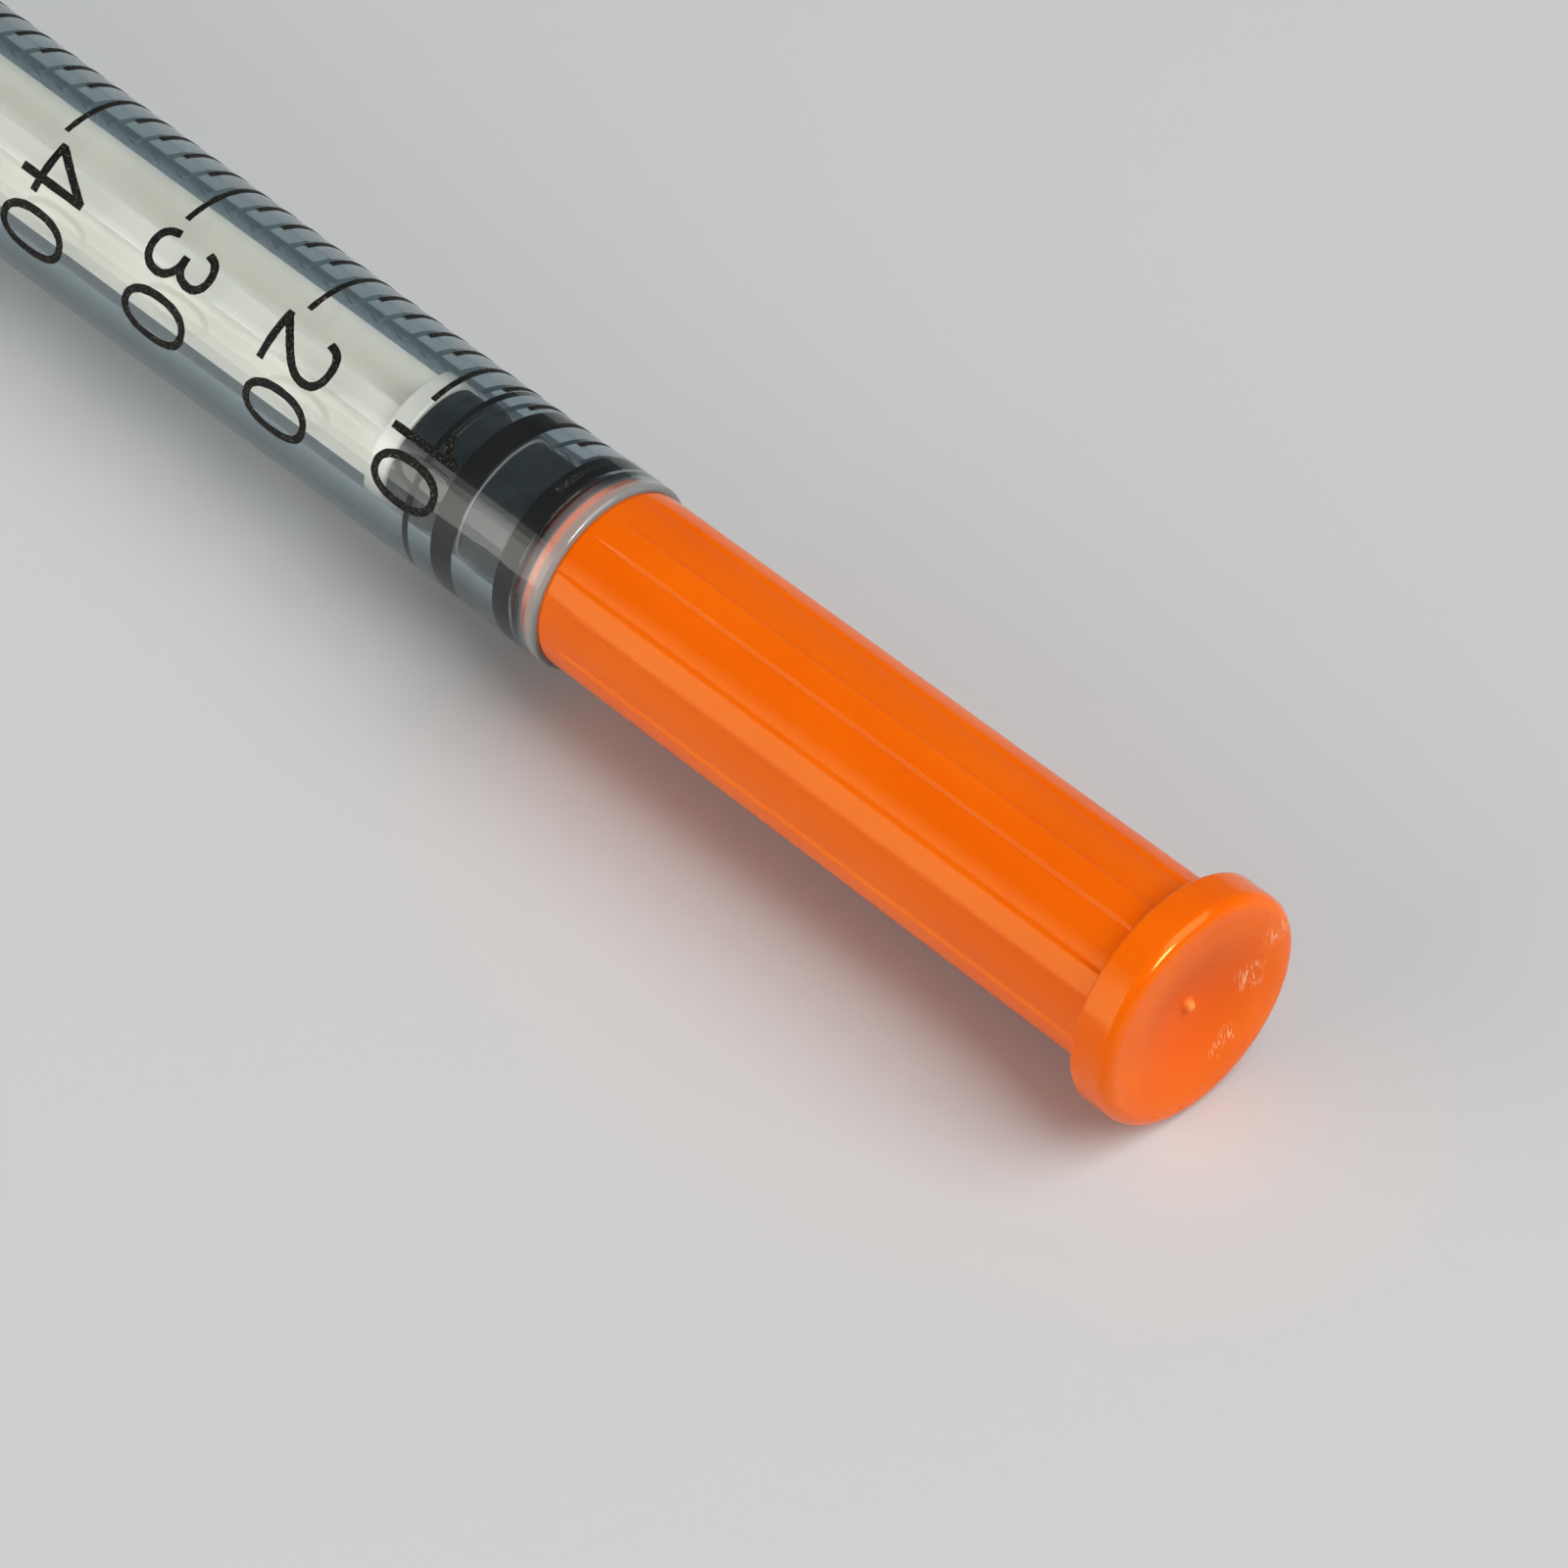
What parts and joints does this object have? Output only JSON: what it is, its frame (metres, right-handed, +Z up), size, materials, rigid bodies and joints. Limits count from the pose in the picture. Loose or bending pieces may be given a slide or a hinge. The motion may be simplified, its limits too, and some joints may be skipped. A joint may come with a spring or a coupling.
{
  "type": "insulin syringe",
  "caption": "Clear fixed-needle insulin syringe lying capped: slim barrel with a unit scale, white plunger rod, dark rubber stopper and an orange needle cap with a disc end.",
  "frame": {"origin": "middle of the bounding box, on the surface that the syringe lies on", "axes": "+X along the syringe towards the cap's disc, +Z up, +Y along the finger flange"},
  "size_m": [0.1028, 0.0152, 0.0085],
  "materials": {
    "clear_plastic": "clear polypropylene",
    "needle_steel": "drawn and polished",
    "clear_adhesive": "cured clear",
    "dark_rubber": "moulded, satin",
    "white_plastic": "satin",
    "orange_plastic": "glossy",
    "black_ink": "printed scale"
  },
  "bodies": {
    "barrel_body": {"barrel": "clear_plastic", "needle_cannula": "needle_steel", "needle_adhesive": "clear_adhesive"},
    "stopper_body": {"plunger_stopper": "dark_rubber"},
    "rod_body": {"plunger_rod": "white_plastic"},
    "cap_body": {"needle_cap": "orange_plastic"}
  },
  "joints": [
    {"name": "plunger_slide", "type": "slide", "parent": "barrel_body", "child": "stopper_body", "axis": [-1, 0, 0], "range_m": [0, 0.057]},
    {"name": "rod_spin", "type": "hinge", "parent": "stopper_body", "child": "rod_body", "pos_m": [0, 0, 0.00424], "axis": [1, 0, 0], "continuous": true},
    {"name": "cap_pull", "type": "slide", "parent": "barrel_body", "child": "cap_body", "axis": [1, 0, 0], "range_m": [0, 0.025]}
  ]
}
